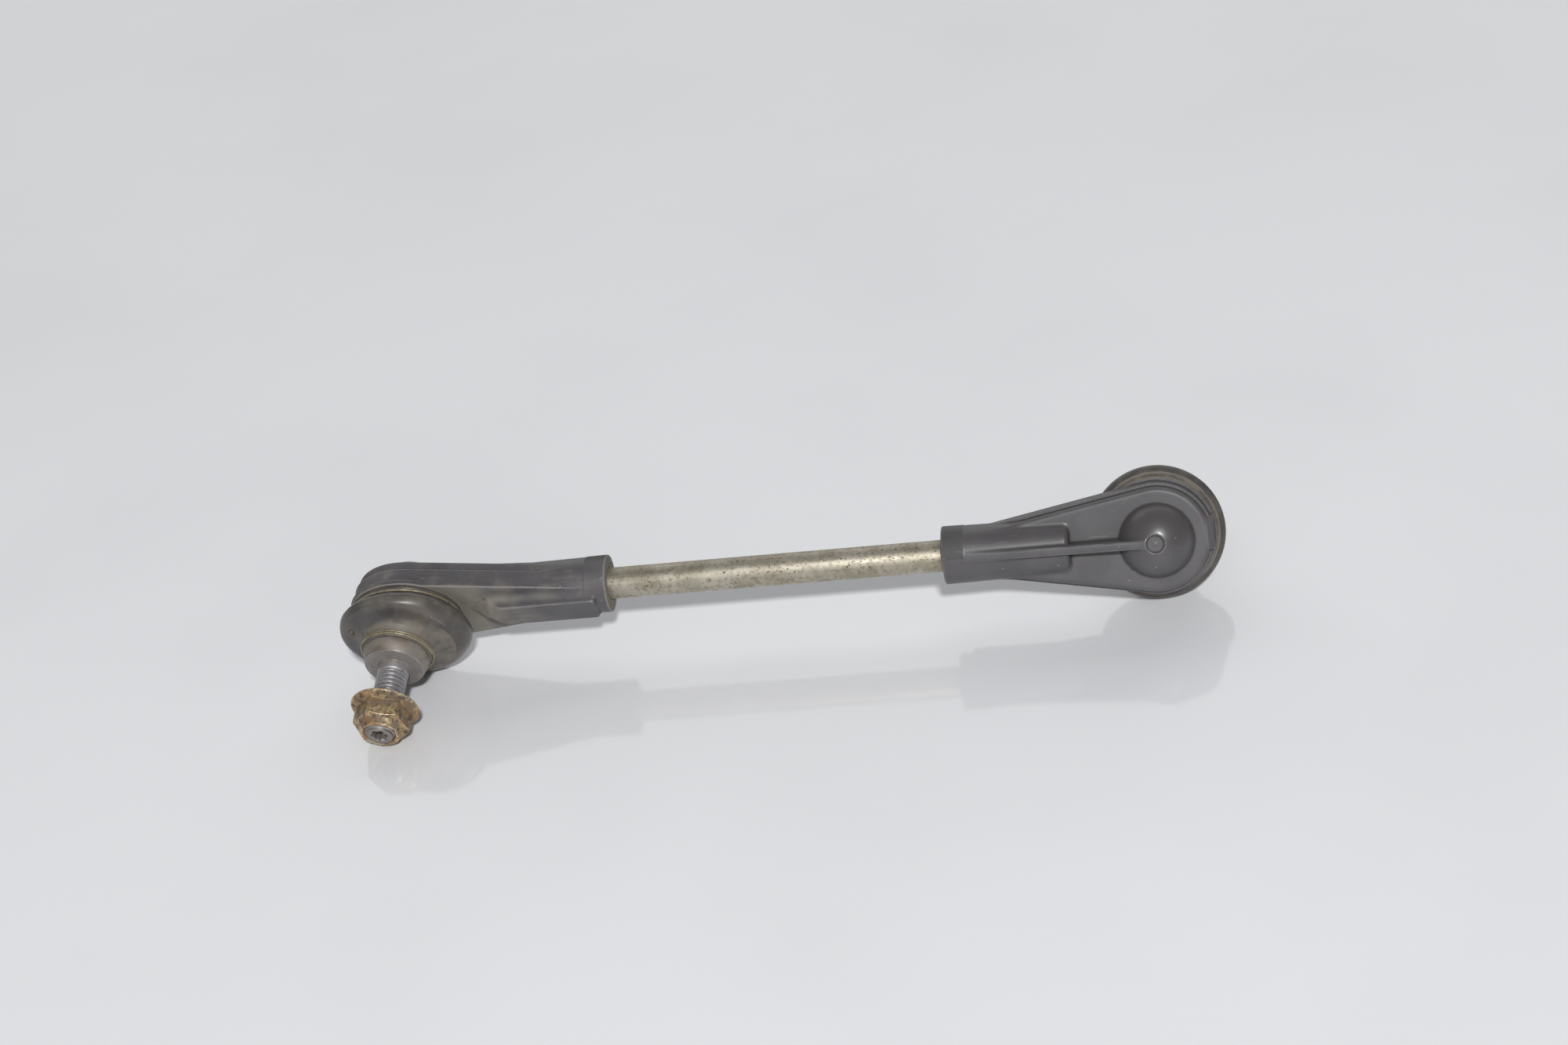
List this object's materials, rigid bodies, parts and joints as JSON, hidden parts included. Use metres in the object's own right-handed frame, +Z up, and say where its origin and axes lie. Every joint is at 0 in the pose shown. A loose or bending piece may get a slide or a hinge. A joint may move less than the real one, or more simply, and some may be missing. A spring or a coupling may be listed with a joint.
{
  "type": "stabilizer link",
  "caption": "Stabilizer link: steel rod between moulded ball-joint housings whose booted, threaded studs with flange nuts point to opposite sides.",
  "frame": {"origin": "on the table that the link lies on, under the middle of the rod", "axes": "+X along the rod from the left end to the right end, +Z up, so the left stud points to -Y and the right stud to +Y"},
  "size_m": [0.2824, 0.102, 0.0413],
  "materials": {
    "rod_steel": "aged zinc plating with dark specks",
    "housing_plastic": "glass-filled moulded plastic, satin and dusty",
    "shell_plastic": "natural white acetal",
    "ring_plastic": "welded glass-filled plastic",
    "stud_steel": "phosphated steel, bright on the thread",
    "boot_rubber": "matt rubber with brown dust",
    "clamp_ring": "yellow-passivated spring ring, dusty",
    "nut_steel": "worn yellow zinc with rust"
  },
  "bodies": {
    "link": {"rod": "rod_steel", "left_housing": "housing_plastic", "left_closing_ring": "ring_plastic", "left_boot": "boot_rubber", "left_boot_base_ring": "clamp_ring", "right_housing": "housing_plastic", "right_closing_ring": "ring_plastic", "right_boot": "boot_rubber", "right_boot_base_ring": "clamp_ring"},
    "left_shell": {"left_ball_shell": "shell_plastic"},
    "left_boot_grip": {"left_boot_top_ring": "clamp_ring"},
    "left_stud": {"left_ball_stud": "stud_steel"},
    "left_nut": {"left_flange_nut": "nut_steel"},
    "right_shell": {"right_ball_shell": "shell_plastic"},
    "right_boot_grip": {"right_boot_top_ring": "clamp_ring"},
    "right_stud": {"right_ball_stud": "stud_steel"},
    "right_nut": {"right_flange_nut": "nut_steel"}
  },
  "joints": [
    {"name": "left_swing_direction", "type": "hinge", "parent": "link", "child": "left_shell", "pos_m": [-0.12, 0, 0.02445], "axis": [0, -0.9135, -0.4067], "continuous": true},
    {"name": "left_stud_tilt", "type": "hinge", "parent": "left_shell", "child": "left_boot_grip", "pos_m": [-0.12, 0, 0.02445], "axis": [0.7258, -0.2798, 0.6285], "range_deg": [-13.6, 26.4], "deforming": ["left_boot"]},
    {"name": "left_stud_spin", "type": "hinge", "parent": "left_boot_grip", "child": "left_stud", "pos_m": [-0.12, 0, 0.02445], "axis": [-0.0767, -0.9408, -0.3303], "continuous": true},
    {"name": "left_nut_run", "type": "slide", "parent": "left_stud", "child": "left_nut", "axis": [-0.0767, -0.9408, -0.3303], "range_m": [-0.0118, 0.03]},
    {"name": "right_swing_direction", "type": "hinge", "parent": "link", "child": "right_shell", "pos_m": [0.12, 0, 0.02445], "axis": [0, 0.9135, -0.4067], "continuous": true},
    {"name": "right_stud_tilt", "type": "hinge", "parent": "right_shell", "child": "right_boot_grip", "pos_m": [0.12, 0, 0.02445], "axis": [-0.7258, 0.2798, 0.6285], "range_deg": [-13.6, 26.4], "deforming": ["right_boot"]},
    {"name": "right_stud_spin", "type": "hinge", "parent": "right_boot_grip", "child": "right_stud", "pos_m": [0.12, 0, 0.02445], "axis": [0.0767, 0.9408, -0.3303], "continuous": true},
    {"name": "right_nut_run", "type": "slide", "parent": "right_stud", "child": "right_nut", "axis": [0.0767, 0.9408, -0.3303], "range_m": [-0.0118, 0.03]}
  ]
}
